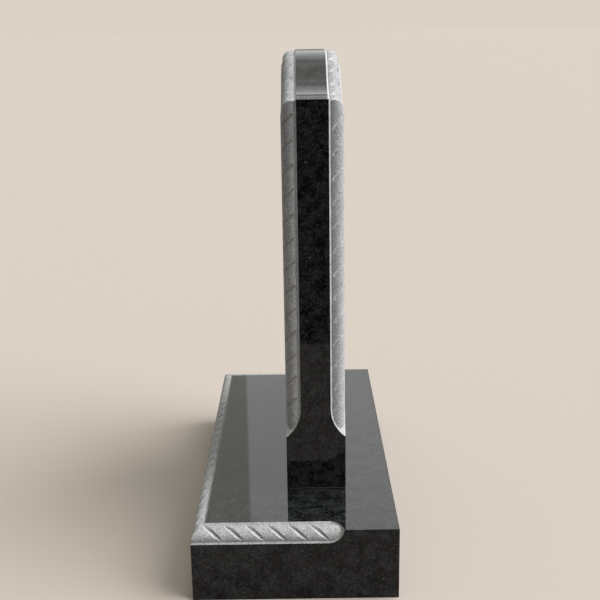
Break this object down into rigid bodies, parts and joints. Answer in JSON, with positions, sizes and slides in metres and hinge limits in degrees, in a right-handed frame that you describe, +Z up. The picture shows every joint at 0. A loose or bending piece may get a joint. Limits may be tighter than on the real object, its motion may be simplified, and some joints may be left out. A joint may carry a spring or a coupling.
{
  "type": "ogee headstone",
  "caption": "Polished black granite memorial: a tablet with an ogee head and carved rope edges, standing on a block base with a rope edge.",
  "frame": {"origin": "middle of the base's underside, on the ground", "axes": "+Z up, -Y towards the front of the headstone, X along its width"},
  "size_m": [0.708, 0.305, 0.7763],
  "materials": {
    "tablet_stone": "mirror-polished black granite with frosted, pale grey rope bands",
    "base_stone": "mirror-polished black granite with a frosted, pale grey rope band"
  },
  "bodies": {
    "root": {"tablet": "tablet_stone", "base": "base_stone"}
  },
  "joints": []
}
